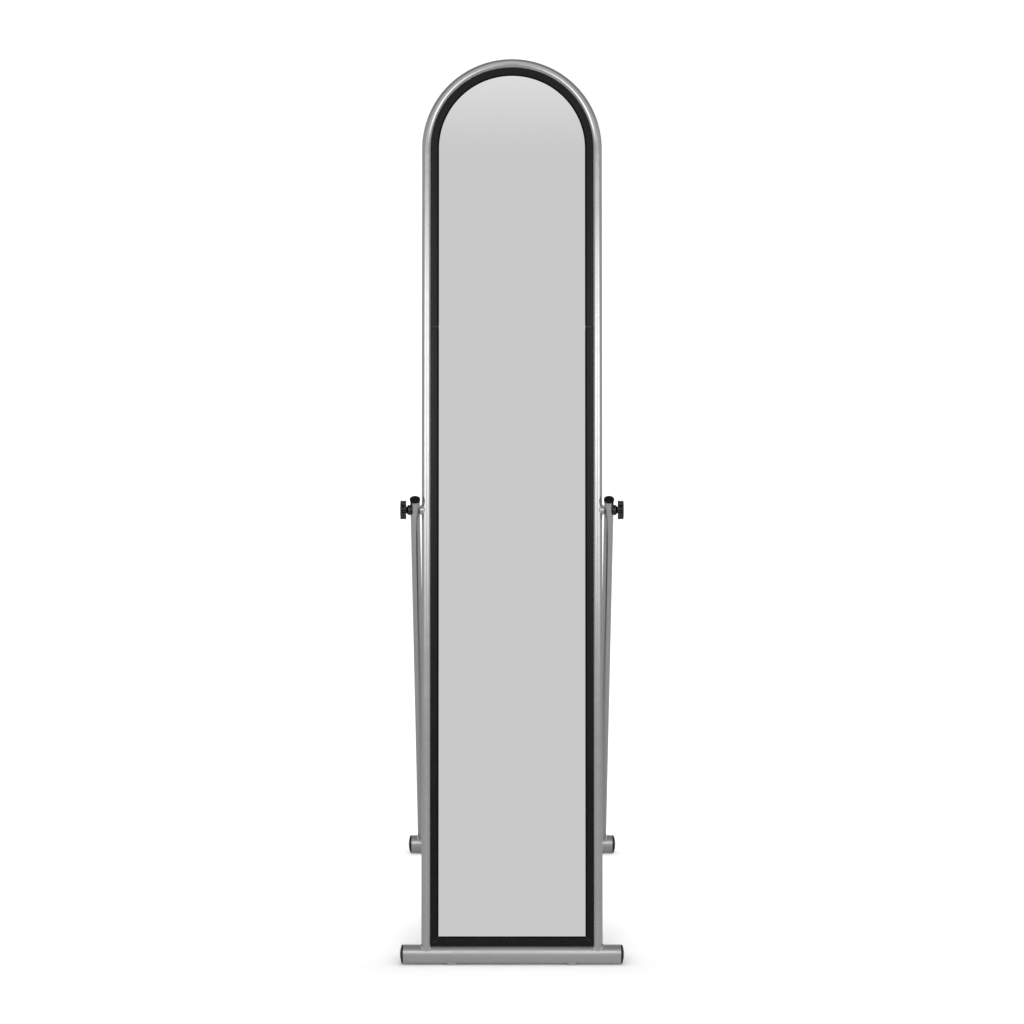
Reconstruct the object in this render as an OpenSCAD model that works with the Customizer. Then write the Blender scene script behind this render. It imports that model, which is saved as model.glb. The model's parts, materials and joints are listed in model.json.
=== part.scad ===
// Free-standing floor mirror: an arched tube frame on a cross tube, held up by a
// folding rear stand that two star knobs clamp at the sides.
// The mirror looks towards -Y and leans back towards +Y. The floor is Z = 0.

/* [Mirror frame] */
// Overall width across the arched frame tube
frame_w = 305; // [285:1:360]
// Length from the front foot's axis to the top of the arch, along the frame
frame_len = 1514; // [1420:1:1640]
// Outside diameter of the frame tube
frame_tube_d = 16; // [14:0.5:18]
// Wall of the frame tube
frame_tube_wall = 1.2; // [1:0.1:1.8]
// How far the frame tube stands in front of the front foot's axis
frame_forward = 6; // [4:0.5:7]
// Lean of the mirror from upright, in degrees
lean = 18; // [14:0.5:20]

/* [Mirror panel] */
// Thickness of the mirror glass
glass_t = 3; // [2:0.5:5]
// Thickness of the backing board
board_t = 3; // [3:0.5:4.5]
// Play between the panel's edge and the trim's channel
panel_clear = 0.1; // [0.05:0.05:0.5]

/* [Black trim] */
// Width of the trim's face at the sides and round the arch
trim_face = 13.1; // [11:0.1:18]
// Width of the trim's face along the bottom
trim_bottom_face = 16.4; // [14:0.1:22]
// How far the face's edge reaches past the frame tube's side
trim_lap = 0.2; // [0:0.1:0.3]
// How far the face hangs in front of the front foot
trim_bottom_lap = 2.3; // [1:0.1:2.4]
// Thickness of the face's edge beside the tubes
trim_lap_t = 0.8; // [0.6:0.1:0.8]
// How far the face lies behind the front of the frame tube
trim_sunk = 5; // [5:0.1:6]
// Thickness of the trim's front lip over the glass
trim_lip_t = 1.5; // [1.2:0.1:3]
// Thickness of the trim's outer wall
trim_wall = 2; // [1.2:0.1:3]
// Thickness of the trim's rear flange
trim_flange_t = 1.5; // [1.2:0.1:2.5]
// Width of the rear flange over the board
trim_flange_w = 9; // [8:0.1:12]
// Width of the bevel along the outer edge of the face
trim_bevel_w = 0.4; // [0.2:0.1:1]
// Depth of the bevel along the outer edge of the face
trim_bevel = 0.3; // [0.1:0.1:0.5]
// Width of the slope along the inner edge of the face
trim_slope = 3; // [2:0.1:5]
// Height of the slope's low edge over the glass
trim_edge = 0.6; // [0.4:0.1:0.9]
// Play between the trim and the tubes
trim_gap = 0.2; // [0.1:0.05:0.4]
// Height of the joint between the arch piece and the side pieces
trim_seam_up = 1058; // [1000:1:1120]

/* [Tabs at the back] */
// Height of the lowest pair of tabs
tab_low = 120; // [60:1:160]
// Distance between pairs of tabs
tab_pitch = 270; // [260:1:275]
// Pairs of tabs up the sides
tab_pairs = 5; // [3:1:5]
// Width of a tab along the tube
tab_w = 14; // [10:0.5:20]
// Thickness of a tab
tab_t = 1.5; // [1:0.1:2]
// Distance from a tab's screw to its inner end
tab_end = 4.5; // [4.2:0.1:5.2]
// Diameter of the tab screws
tab_screw_d = 3.5; // [3:0.1:4]
// Length of the tab screws under the head
tab_screw_len = 5.5; // [5:0.1:5.7]
// Diameter of the tab screws' heads
tab_head_d = 7; // [6:0.1:8]
// Height of the tab screws' heads
tab_head_h = 2; // [1.5:0.1:2.5]
// Radial play of the tab screws in the tabs and the trim
tab_hole_clear = 0.4; // [0.2:0.05:0.6]

/* [Feet] */
// Distance between the two foot tubes' axes
foot_spread = 500; // [440:1:560]
// Outside diameter of both foot tubes
foot_tube_d = 32; // [30:0.5:38]
// Wall of the foot tubes
foot_tube_wall = 1.5; // [1.2:0.1:2.5]
// How far each foot runs out past the rear legs, with its cap
foot_overhang = 17.2; // [12:0.2:40]
// Height of the end caps' dome
cap_dome = 3.2; // [1.5:0.1:5]
// Thickness of the end caps' rim
cap_rim = 2.2; // [0.8:0.1:2.6]
// Length of the end caps' plug
cap_plug_len = 14; // [8:0.5:16]
// Wall of the end caps' plug
cap_plug_wall = 1.6; // [1:0.1:3]
// Play of the end caps' plug in the tube
cap_clear = 0.1; // [0.05:0.05:0.3]

/* [Glides] */
// Distance of the glides from the middle
glide_x = 101; // [60:1:120]
// Width of a glide along the tube
glide_w = 13; // [10:0.5:20]
// Thickness of a glide's saddle
glide_wall = 1.8; // [1.6:0.1:2.4]
// How far the glides stand out below the tubes
glide_stand = 1.5; // [1:0.1:1.6]
// Half the angle that a glide's saddle covers, in degrees
glide_wrap = 40; // [30:1:44]
// Diameter of the glides' pegs
glide_peg_d = 4; // [3:0.1:5]
// Length of the glides' pegs inside the tube
glide_peg_in = 3; // [2:0.1:5]
// Play of the glides on the tube and of their pegs
glide_clear = 0.1; // [0.05:0.05:0.2]

/* [Rear stand] */
// Height of the pivot along the frame
pivot_up = 748; // [690:1:780]
// Outside diameter of the legs
leg_d = 16; // [14:0.5:18]
// Wall of the legs
leg_wall = 1.2; // [1:0.1:1.8]
// Gap between a leg and the frame tube
leg_gap = 3.1; // [2.6:0.1:6]
// Length of a leg above the pivot, without its cap
leg_above = 22; // [18:0.5:30]
// Wall of the legs' caps
leg_cap_wall = 0.8; // [0.6:0.1:1.5]
// Length of the legs' caps over the tube
leg_cap_skirt = 2.2; // [1.5:0.1:6]
// Length of the legs' caps inside the tube
leg_cap_plug_len = 10; // [6:0.5:12]
// Wall of the legs' caps inside the tube
leg_cap_plug_wall = 1.2; // [0.8:0.1:2]
// Thickness of the legs' caps over the tube's end
leg_cap_top = 1.4; // [1:0.1:2]
// Height of the dome on the legs' caps
leg_cap_dome = 3; // [1.5:0.1:4]
// Play of the legs' caps on and in the tube
leg_cap_clear = 0.05; // [0.05:0.05:0.2]

/* [Pivot screws] */
// Diameter of the pivot screws
screw_d = 6; // [5:0.5:8]
// Radial play of the screws in the threaded lugs
thread_clear = 0.05; // [0.02:0.01:0.1]
// Radial play of the screws in the legs and washers
screw_hole_clear = 0.35; // [0.3:0.05:0.6]
// How far the screws run in past the leg's axis
screw_reach = 20; // [18:0.5:22]
// Outside diameter of the lugs
lug_d = 15; // [12:0.5:16]
// Diameter of the lugs' spigot inside the frame tube
lug_spigot_d = 10; // [9.5:0.1:11]
// Gap between the spigot's end and the frame tube's far wall
lug_spigot_gap = 1; // [0.5:0.1:2]
// Gap between a lug and its leg, and between a washer and its leg
leg_clear = 0.3; // [0.2:0.05:0.5]
// Diameter of the saddle washers
washer_d = 17.4; // [16:0.1:20]
// Diameter of the saddle washers at the knob
washer_tip_d = 11.6; // [10:0.1:15]
// Length of the washers' cone
washer_cone = 2.7; // [2:0.1:5]
// Thickness of the washers' straight part over the leg's crown
washer_crown = 3.2; // [2.5:0.1:5]
// How far the washers' skirt comes down round the leg
washer_skirt = 2.2; // [1:0.1:4]

/* [Knobs] */
// Diameter over the knobs' lobes
knob_d = 32; // [26:0.5:38]
// Thickness of the knobs
knob_t = 9.8; // [8:0.1:14]
// Number of lobes
knob_lobes = 8; // [6:1:10]
// Diameter of a lobe
lobe_d = 7; // [6:0.5:8]
// Bevel on the lobes' edges, and depth of the groove round their middle
lobe_bevel = 1; // [0.5:0.1:1.4]
// Diameter of the knobs' core between the lobes
core_d = 24.4; // [21:0.2:25]
// Bevel on the core's edges
core_bevel = 0.8; // [0.4:0.1:1.2]
// Diameter of the knobs' hub
hub_d = 11; // [10:0.1:13]
// Length of the hub between knob and washer
hub_len = 0.9; // [0.5:0.1:5]
// Diameter of the round recess in a knob's face
recess_d = 17; // [14:0.5:19]
// Depth of the round recess in a knob's face
recess = 1; // [0.5:0.1:2]
// Solid knob left outside the screw's end
knob_end_wall = 2; // [1.5:0.1:3]
// Gap between knob and washer
knob_clear = 0.1; // [0.05:0.05:0.3]

/* [Welds] */
// Size of the weld beads on the feet
foot_weld = 2.2; // [1.5:0.1:3]
// Size of the weld beads round the lugs
lug_weld = 1.6; // [1:0.1:2]

/* [Hidden] */
$fn = 96;
cut = 1;

frame_r = frame_tube_d / 2;
foot_r = foot_tube_d / 2;
leg_r = leg_d / 2;
screw_r = screw_d / 2;

// the frame's own axes: X across, Y along the mirror's normal, Z up the frame
tube_x = frame_w / 2 - frame_r;
arch_up = frame_len - frame_w / 2;

// the trim's channel, in radii from the frame's middle line and depths from the tubes' plane
trim_outer = tube_x - frame_r + trim_lap;
trim_inner = trim_outer - trim_face;
wall_outer = tube_x - frame_r - trim_gap;
wall_inner = wall_outer - trim_wall;
panel_r = wall_inner - panel_clear;
face_y = trim_sunk - frame_r;
glass_y = face_y + trim_lip_t;
board_y = glass_y + glass_t;
panel_back_y = board_y + board_t;
flange_y = panel_back_y + panel_clear;
trim_back_y = flange_y + trim_flange_t;
flange_inner = wall_inner - trim_flange_w;
sill_up = foot_r + trim_gap;
panel_up = sill_up + trim_wall + panel_clear;
trim_low = sill_up - trim_bottom_lap;
trim_bottom_in = trim_low + trim_bottom_face;

// tabs and their screws
tab_y = trim_back_y + panel_clear;
tab_screw_x = flange_inner + trim_flange_w / 2;
tab_x = tab_screw_x - tab_end;
tab_heights = [for (i = [0 : tab_pairs - 1]) tab_low + i * tab_pitch];

// places on the floor
axis_up = foot_r + glide_stand;
front_y = -foot_spread / 2;
rear_y = foot_spread / 2;

// pivot and legs
leg_x = frame_w / 2 + leg_gap + leg_r;
pivot_y = front_y + pivot_up * sin(lean) - frame_forward * cos(lean);
pivot_z = axis_up + pivot_up * cos(lean) + frame_forward * sin(lean);
leg_drop = pivot_z - axis_up;
leg_back = rear_y - pivot_y;
leg_len = sqrt(leg_drop * leg_drop + leg_back * leg_back);
leg_angle = atan(leg_back / leg_drop);

// feet and caps
foot_half = leg_x + leg_r + foot_overhang;
foot_tube_half = foot_half - cap_rim - cap_dome;

// pivot pieces, along X from the middle
lug_face = leg_x - leg_r - leg_clear;
spigot_room = sqrt(max(pow(frame_r - frame_tube_wall, 2) - pow(lug_spigot_d / 2, 2), 0));
lug_in = tube_x - spigot_room + lug_spigot_gap;
crown_x = leg_x + leg_r + leg_clear;
washer_base = crown_x - washer_skirt;
washer_shoulder = crown_x + washer_crown;
washer_tip = washer_shoulder + washer_cone;
hub_x = washer_tip + knob_clear;
knob_x = hub_x + hub_len;
knob_out = knob_x + knob_t;
screw_out = knob_out - recess - knob_end_wall;
lobe_ring = (knob_d - lobe_d) / 2;

silver = "#a3a4a6";
weld_grey = "#b4b5b7";
black = "#1e1e20";
mirror_grey = "#c9cacb";
board_brown = "#6d523b";
zinc = "#bcbfc2";
glide_white = "#d9dadb";

// ---- where things sit ----

// the leaning frame: origin on the front foot's axis, Z up the frame
module on_frame() {
    translate([0, front_y, axis_up])
        rotate([-lean, 0, 0])
            children();
}

// the plane through the middle of the frame tubes
module on_tubes() {
    on_frame()
        translate([0, -frame_forward, 0])
            children();
}

// the stand: origin on the pivot axis, Z up the legs
module on_stand() {
    translate([0, pivot_y, pivot_z])
        rotate([leg_angle, 0, 0])
            children();
}

module at_front_foot() {
    translate([0, front_y, axis_up]) children();
}

module at_rear_foot() {
    translate([0, rear_y, axis_up]) children();
}

// side is -1 for left and 1 for right, as seen from the front
module on_side(side) {
    if (side < 0)
        mirror([1, 0, 0]) children();
    else
        children();
}

// a round bar along X, from x0 to x1
module bar_x(x0, x1, r, tip_r = -1) {
    translate([x0, 0, 0])
        rotate([0, 90, 0])
            cylinder(h = x1 - x0, r1 = r, r2 = tip_r < 0 ? r : tip_r);
}

// a round bar along Y, from y0 to y1
module bar_y(y0, y1, r) {
    translate([0, y0, 0])
        rotate([-90, 0, 0])
            cylinder(h = y1 - y0, r = r);
}

// ---- the frame ----

// the solid outline of the arched tube, of radius r
module arch_bar(r) {
    for (side = [-1, 1])
        translate([side * tube_x, 0, 0])
            cylinder(h = arch_up, r = r);
    translate([0, 0, arch_up])
        rotate([90, 0, 0])
            rotate_extrude(angle = 180)
                translate([tube_x, 0])
                    circle(r = r);
}

module frame_tube() {
    color(silver)
        difference() {
            on_tubes() arch_bar(frame_r);
            on_tubes() arch_bar(frame_r - frame_tube_wall);
            at_front_foot() bar_x(-foot_half, foot_half, foot_r);
            on_tubes()
                for (side = [-1, 1])
                    on_side(side)
                        translate([0, 0, pivot_up])
                            bar_x(tube_x, tube_x + frame_tube_d, lug_spigot_d / 2);
        }
}

// ---- feet ----

module foot_tube() {
    difference() {
        bar_x(-foot_tube_half, foot_tube_half, foot_r);
        bar_x(-foot_half, foot_half, foot_r - foot_tube_wall);
        for (side = [-1, 1])
            translate([side * glide_x, 0, -foot_tube_d])
                cylinder(h = foot_tube_d, r = glide_peg_d / 2 + glide_clear);
    }
}

// half of a domed disc, to be spun: radius r, rim from y 0 to rim, then a dome of height rise
module domed_half(r, rim, rise) {
    ball_r = (r * r + rise * rise) / (2 * rise);
    square([r, rim]);
    translate([0, rim])
        intersection() {
            translate([0, rise - ball_r]) circle(r = ball_r);
            square([r, rise]);
        }
}

module foot_cap(side) {
    plug_r = foot_r - foot_tube_wall - cap_clear;
    on_side(side)
        translate([foot_tube_half, 0, 0])
            rotate([0, 90, 0])
                rotate_extrude() {
                    domed_half(foot_r, cap_rim, cap_dome);
                    translate([plug_r - cap_plug_wall, -cap_plug_len])
                        square([cap_plug_wall, cap_plug_len]);
                }
}

module glide(side) {
    inner_r = foot_r + glide_clear;
    top = -inner_r * cos(glide_wrap);
    translate([side * glide_x, 0, 0]) {
        difference() {
            bar_x(-glide_w / 2, glide_w / 2, foot_r + glide_wall);
            bar_x(-glide_w, glide_w, inner_r);
            translate([-glide_w, -foot_tube_d, top])
                cube([2 * glide_w, 2 * foot_tube_d, 2 * foot_tube_d]);
            translate([-glide_w, -foot_tube_d, -axis_up - foot_tube_d])
                cube([2 * glide_w, 2 * foot_tube_d, foot_tube_d]);
        }
        translate([0, 0, -inner_r - glide_stand / 2])
            cylinder(h = glide_stand / 2 + foot_tube_wall + glide_clear + glide_peg_in,
                     r = glide_peg_d / 2);
    }
}

module base_tube() {
    color(silver) at_front_foot() foot_tube();
}

module base_cap(side) {
    color(black) at_front_foot() foot_cap(side);
}

module front_glide(side) {
    color(glide_white) at_front_foot() glide(side);
}

// bead in the corner between a frame tube and the front foot
module base_weld(side) {
    saddle = sqrt(max(foot_r * foot_r - pow(frame_forward + frame_r, 2), 0));
    color(weld_grey)
        on_frame()
            on_side(side)
                difference() {
                    intersection() {
                        translate([tube_x, -frame_forward, saddle - foot_weld])
                            cylinder(h = foot_tube_d, r = frame_r + foot_weld);
                        bar_x(trim_outer + trim_gap, foot_half, foot_r + foot_weld);
                    }
                    bar_x(0, foot_half, foot_r);
                    translate([tube_x, -frame_forward, 0])
                        cylinder(h = frame_len, r = frame_r);
                }
}

// ---- the panel ----

// an arched sheet: half width and corner at r, bottom at low, from depth y0 to y1
module arched_sheet(r, low, y0, y1) {
    translate([0, y0, 0]) {
        translate([-r, 0, low])
            cube([2 * r, y1 - y0, arch_up - low]);
        translate([0, 0, arch_up])
            intersection() {
                bar_y(0, y1 - y0, r);
                translate([-r, 0, 0])
                    cube([2 * r, y1 - y0, r]);
            }
    }
}

module mirror_glass() {
    color(mirror_grey)
        on_tubes() arched_sheet(panel_r, panel_up, glass_y, board_y);
}

module backing_board() {
    color(board_brown)
        difference() {
            on_tubes() arched_sheet(panel_r, panel_up, board_y, panel_back_y);
            on_tubes() at_tabs() bar_y(tab_y + tab_t - tab_screw_len - cut, tab_y, tab_screw_d / 2);
        }
}

// ---- the black trim ----

// the channel's section: x is the distance from the frame's middle line, y the depth.
// inner is the face's inner edge, outer its outer edge, and back the rear flange's inner edge
module trim_section(inner, outer, wall_in, wall_out, back) {
    polygon([
        [inner, glass_y],
        [inner, glass_y - trim_edge],
        [inner + trim_slope, face_y],
        [outer - trim_bevel_w, face_y],
        [outer, face_y + trim_bevel],
        [outer, face_y + trim_lap_t],
        [wall_out, face_y + trim_lap_t],
        [wall_out, trim_back_y],
        [back, trim_back_y],
        [back, flange_y],
        [wall_in, flange_y],
        [wall_in, glass_y]
    ]);
}

module side_section() {
    trim_section(trim_inner, trim_outer, wall_inner, wall_outer, flange_inner);
}

// everything above the mitre that runs through the trim's lower corner
module above_mitre() {
    run = 2 * trim_face;
    rise = 2 * trim_bottom_face;
    depth = 2 * frame_tube_d;
    translate([0, depth / 2, 0])
        rotate([90, 0, 0])
            linear_extrude(height = depth)
                polygon([
                    [trim_outer + run, trim_low - rise],
                    [trim_outer + run, frame_len],
                    [trim_inner - run, frame_len],
                    [trim_inner - run, trim_bottom_in + rise]
                ]);
}

module trim_side(side) {
    color(black)
        difference() {
            on_tubes()
                on_side(side)
                    intersection() {
                        linear_extrude(height = trim_seam_up) side_section();
                        above_mitre();
                    }
            on_tubes() tab_holes();
        }
}

module trim_arch() {
    color(black)
        difference() {
            on_tubes() {
                for (side = [-1, 1])
                    on_side(side)
                        translate([0, 0, trim_seam_up])
                            linear_extrude(height = arch_up - trim_seam_up)
                                side_section();
                translate([0, 0, arch_up])
                    rotate([90, 0, 0])
                        rotate_extrude(angle = 180)
                            mirror([0, 1]) side_section();
            }
            on_tubes() tab_holes();
        }
}

module trim_bottom() {
    color(black)
        on_tubes()
            difference() {
                translate([trim_outer, 0, 0])
                    rotate([0, -90, 0])
                        linear_extrude(height = 2 * trim_outer)
                            mirror([1, 0])
                                trim_section(-trim_bottom_in, -trim_low, -sill_up - trim_wall,
                                             -sill_up, -sill_up - trim_wall - trim_flange_w);
                for (side = [-1, 1])
                    on_side(side) above_mitre();
            }
}

// ---- tabs at the back ----

// repeats its children at each tab's screw, with X outwards along the tab
module at_tabs() {
    for (side = [-1, 1])
        for (up = tab_heights)
            on_side(side)
                translate([tab_screw_x, 0, up])
                    children();
    translate([0, 0, arch_up])
        rotate([0, -90, 0])
            translate([tab_screw_x, 0, 0])
                children();
}

module tab_holes() {
    at_tabs() bar_y(0, tab_y + tab_t + cut, tab_screw_d / 2 + tab_hole_clear);
}

module back_tabs() {
    color(silver)
        difference() {
            on_tubes()
                at_tabs()
                    translate([-tab_end, tab_y, -tab_w / 2])
                        cube([tube_x - tab_x, tab_t, tab_w]);
            on_tubes() arch_bar(frame_r);
            on_tubes() tab_holes();
        }
}

module tab_screws() {
    color(zinc)
        on_tubes()
            at_tabs() {
                bar_y(tab_y + tab_t - tab_screw_len, tab_y + tab_t + cut, tab_screw_d / 2);
                bar_y(tab_y + tab_t, tab_y + tab_t + tab_head_h, tab_head_d / 2);
            }
}

// ---- pivots ----

module pivot_lug(side) {
    color(silver)
        on_tubes()
            on_side(side)
                translate([0, 0, pivot_up])
                    difference() {
                        union() {
                            difference() {
                                bar_x(tube_x, lug_face, lug_d / 2);
                                translate([tube_x, 0, -lug_d])
                                    cylinder(h = 2 * lug_d, r = frame_r);
                            }
                            bar_x(lug_in, lug_face, lug_spigot_d / 2);
                        }
                        bar_x(0, leg_x, screw_r + thread_clear);
                    }
}

// bead in the corner between a lug and the frame tube
module lug_weld(side) {
    color(weld_grey)
        on_tubes()
            on_side(side)
                translate([0, 0, pivot_up])
                    difference() {
                        intersection() {
                            bar_x(tube_x, lug_face, lug_d / 2 + lug_weld);
                            translate([tube_x, 0, -lug_d])
                                cylinder(h = 2 * lug_d, r = frame_r + lug_weld);
                        }
                        bar_x(0, leg_x, lug_d / 2);
                        translate([tube_x, 0, -lug_d])
                            cylinder(h = 2 * lug_d, r = frame_r);
                    }
}

// ---- the rear stand ----

module leg(side) {
    color(silver)
        difference() {
            on_stand()
                on_side(side)
                    difference() {
                        translate([leg_x, 0, -leg_len])
                            cylinder(h = leg_len + leg_above, r = leg_r);
                        translate([leg_x, 0, -leg_len])
                            cylinder(h = leg_len + leg_above + cut, r = leg_r - leg_wall);
                        bar_x(0, foot_half, screw_r + screw_hole_clear);
                    }
            at_rear_foot() bar_x(-foot_half, foot_half, foot_r);
        }
}

module leg_cap(side) {
    inner_r = leg_r + leg_cap_clear;
    plug_r = leg_r - leg_wall - leg_cap_clear;
    color(black)
        on_stand()
            on_side(side)
                translate([leg_x, 0, leg_above + leg_cap_clear])
                    rotate_extrude() {
                        domed_half(inner_r + leg_cap_wall, leg_cap_top, leg_cap_dome);
                        translate([inner_r, -leg_cap_skirt])
                            square([leg_cap_wall, leg_cap_skirt]);
                        translate([plug_r - leg_cap_plug_wall, -leg_cap_plug_len])
                            square([leg_cap_plug_wall, leg_cap_plug_len]);
                    }
}

module rear_tube() {
    color(silver) at_rear_foot() foot_tube();
}

module rear_cap(side) {
    color(black) at_rear_foot() foot_cap(side);
}

module rear_glide(side) {
    color(glide_white) at_rear_foot() glide(side);
}

// bead in the corner between a leg and the rear foot
module rear_weld(side) {
    color(weld_grey)
        on_stand()
            on_side(side)
                translate([0, 0, -leg_len])
                    difference() {
                        intersection() {
                            translate([leg_x, 0, 0])
                                cylinder(h = foot_tube_d, r = leg_r + foot_weld);
                            bar_x(0, foot_tube_half, foot_r + foot_weld);
                        }
                        bar_x(0, foot_half, foot_r);
                        translate([leg_x, 0, 0])
                            cylinder(h = foot_tube_d, r = leg_r);
                    }
}

// ---- washers and knobs ----

module saddle_washer(side) {
    color(black)
        on_stand()
            on_side(side)
                difference() {
                    union() {
                        bar_x(washer_base, washer_shoulder, washer_d / 2);
                        bar_x(washer_shoulder, washer_tip, washer_d / 2, washer_tip_d / 2);
                    }
                    translate([leg_x, 0, -washer_d])
                        cylinder(h = 2 * washer_d, r = leg_r + leg_clear);
                    bar_x(leg_x, washer_tip + cut, screw_r + screw_hole_clear);
                }
}

// a round bar along X from x0 to x1 with bevelled ends
module bevelled_bar(x0, x1, r, bevel) {
    translate([x0, 0, 0])
        rotate([0, 90, 0])
            rotate_extrude()
                polygon([
                    [0, 0],
                    [r - bevel, 0],
                    [r, bevel],
                    [r, x1 - x0 - bevel],
                    [r - bevel, x1 - x0],
                    [0, x1 - x0]
                ]);
}

// a lobe: two bevelled halves, with a groove where they meet
module lobe() {
    knob_mid = (knob_x + knob_out) / 2;
    bevelled_bar(knob_x, knob_mid, lobe_d / 2, lobe_bevel);
    bevelled_bar(knob_mid, knob_out, lobe_d / 2, lobe_bevel);
}

module knob(side) {
    color(black)
        on_stand()
            on_side(side)
                difference() {
                    union() {
                        bar_x(hub_x, knob_out, hub_d / 2);
                        bevelled_bar(knob_x, knob_out, core_d / 2, core_bevel);
                        for (i = [0 : knob_lobes - 1])
                            rotate([i * 360 / knob_lobes, 0, 0])
                                translate([0, 0, lobe_ring])
                                    lobe();
                    }
                    bar_x(knob_out - recess, knob_out + cut, recess_d / 2);
                    bar_x(hub_x - cut, screw_out, screw_r);
                }
}

module knob_screw(side) {
    color(zinc)
        on_stand()
            on_side(side)
                bar_x(leg_x - screw_reach, screw_out, screw_r);
}

frame_tube();
base_tube();
base_cap(-1);  // base_cap_left
base_cap(1);  // base_cap_right
base_weld(-1);  // base_weld_left
base_weld(1);  // base_weld_right
front_glide(-1);  // front_glide_left
front_glide(1);  // front_glide_right
mirror_glass();
backing_board();
trim_arch();
trim_side(-1);  // trim_side_left
trim_side(1);  // trim_side_right
trim_bottom();
back_tabs();
tab_screws();
pivot_lug(-1);  // pivot_lug_left
pivot_lug(1);  // pivot_lug_right
lug_weld(-1);  // lug_weld_left
lug_weld(1);  // lug_weld_right
leg(-1);  // leg_left
leg(1);  // leg_right
leg_cap(-1);  // leg_cap_left
leg_cap(1);  // leg_cap_right
rear_tube();
rear_cap(-1);  // rear_cap_left
rear_cap(1);  // rear_cap_right
rear_weld(-1);  // rear_weld_left
rear_weld(1);  // rear_weld_right
rear_glide(-1);  // rear_glide_left
rear_glide(1);  // rear_glide_right
saddle_washer(-1);  // saddle_washer_left
saddle_washer(1);  // saddle_washer_right
knob(-1);  // knob_left
knob(1);  // knob_right
knob_screw(-1);  // knob_screw_left
knob_screw(1);  // knob_screw_right
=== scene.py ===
"""A free-standing floor mirror: an arched tube frame on a cross tube, with a folding rear stand.

Every piece is modelled in metres in a space of its own - the leaning frame, the stand, or a foot -
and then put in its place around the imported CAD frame.
"""

import json
import math

import bmesh
import bpy
from mathutils import Matrix, Vector, noise


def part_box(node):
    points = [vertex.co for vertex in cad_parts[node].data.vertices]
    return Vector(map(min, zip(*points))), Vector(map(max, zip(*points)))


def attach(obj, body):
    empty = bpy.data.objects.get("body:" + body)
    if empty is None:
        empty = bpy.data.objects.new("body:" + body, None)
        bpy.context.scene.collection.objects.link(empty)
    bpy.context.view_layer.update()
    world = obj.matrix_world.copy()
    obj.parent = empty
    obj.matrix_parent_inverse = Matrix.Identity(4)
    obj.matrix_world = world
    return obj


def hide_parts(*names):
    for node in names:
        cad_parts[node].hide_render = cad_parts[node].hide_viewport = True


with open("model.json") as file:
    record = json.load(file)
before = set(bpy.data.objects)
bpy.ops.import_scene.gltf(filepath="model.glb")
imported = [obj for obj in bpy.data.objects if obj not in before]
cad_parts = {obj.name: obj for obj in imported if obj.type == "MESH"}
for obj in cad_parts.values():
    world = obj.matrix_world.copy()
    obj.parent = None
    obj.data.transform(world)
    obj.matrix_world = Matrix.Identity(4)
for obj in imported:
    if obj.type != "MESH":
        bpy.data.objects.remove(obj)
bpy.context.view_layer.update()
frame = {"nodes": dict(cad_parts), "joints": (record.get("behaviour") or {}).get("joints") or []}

MM = 0.001
MERGE = 0.001 * MM

# ---- sizes that the frame gives ----


def span(node, axis):
    """Lowest and highest place of a CAD node along an axis, 0 for X, 1 for Y and 2 for Z."""
    low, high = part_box(node)
    return low[axis], high[axis]


def joint_place(name):
    """Where a joint of the record sits."""
    return next(Vector(joint["pos_m"]) for joint in frame["joints"] if joint["name"] == name)


foot_tube_half = span("base_tube", 0)[1]
foot_tube_top = span("base_tube", 2)
foot_r = (foot_tube_top[1] - foot_tube_top[0]) / 2
axis_up = sum(foot_tube_top) / 2
front_y = sum(span("base_tube", 1)) / 2
rear_y = sum(span("rear_tube", 1)) / 2
foot_end = span("base_cap_right", 0)[1]
glide_mid = sum(span("front_glide_right", 0)) / 2
glide_half = span("front_glide_right", 0)[1] - glide_mid

frame_r = 8 * MM
tube_x = span("frame_tube", 0)[1] - frame_r
panel_r = span("mirror_glass", 0)[1]
trim_outer = span("trim_bottom", 0)[1]

leg_x = sum(span("leg_right", 0)) / 2
leg_r = span("leg_right", 0)[1] - leg_x
leg_cap_r = span("leg_cap_right", 0)[1] - leg_x
lug_face = span("pivot_lug_right", 0)[1]
washer_base, washer_tip = span("saddle_washer_right", 0)
hub_x, knob_out = span("knob_right", 0)
screw_out = span("knob_screw_right", 0)[1]
pivot = joint_place("stand_fold")

# ---- sizes that the frame doesn't give ----
# heights run up the leaning frame from the front foot's axis, depths back from its tube's axis

LEAN = math.radians(18)
FRAME_LEN = 1514 * MM
FRAME_FORWARD = 6 * MM
TUBE_WALL = 1.2 * MM
FOOT_WALL = 1.5 * MM
PIVOT_UP = 748 * MM

GLASS_Y = -1.5 * MM
GLASS_T = 3 * MM
BOARD_T = 3 * MM
PANEL_UP = 18.3 * MM
GLASS_ARRIS = 0.4 * MM
BOARD_ARRIS = 0.3 * MM
FACE_TURNED = 0.99

TRIM_FACE = 13.1 * MM
TRIM_BOTTOM_FACE = 16.4 * MM
TRIM_LOW = 13.9 * MM
TRIM_SEAM_UP = 1058 * MM
TRIM_SEAM = 0.25 * MM
SEAM_RUN = 6 * MM
WALL_BEYOND_GLASS = 2.1 * MM
FACE_Y = -3 * MM
LAP_BACK_Y = -2.2 * MM
FLANGE_Y = 4.6 * MM
TRIM_BACK_Y = 6.1 * MM
FLANGE_W = 9 * MM
TRIM_WALL = 2 * MM
BOTTOM_LAP = 2.3 * MM
LIP_EDGE = 0.6 * MM
LIP_SLOPE = 3 * MM
LIP_KNEE = 0.75
LIP_KNEE_SUNK = 0.1 * MM
LIP_PINCH = 0.4 * MM
RIB_RISE = 0.4 * MM
RIB_HALF = 0.95 * MM
RIBS = (4.8 * MM, 8.2 * MM)
RIB_STEPS = 8
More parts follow.
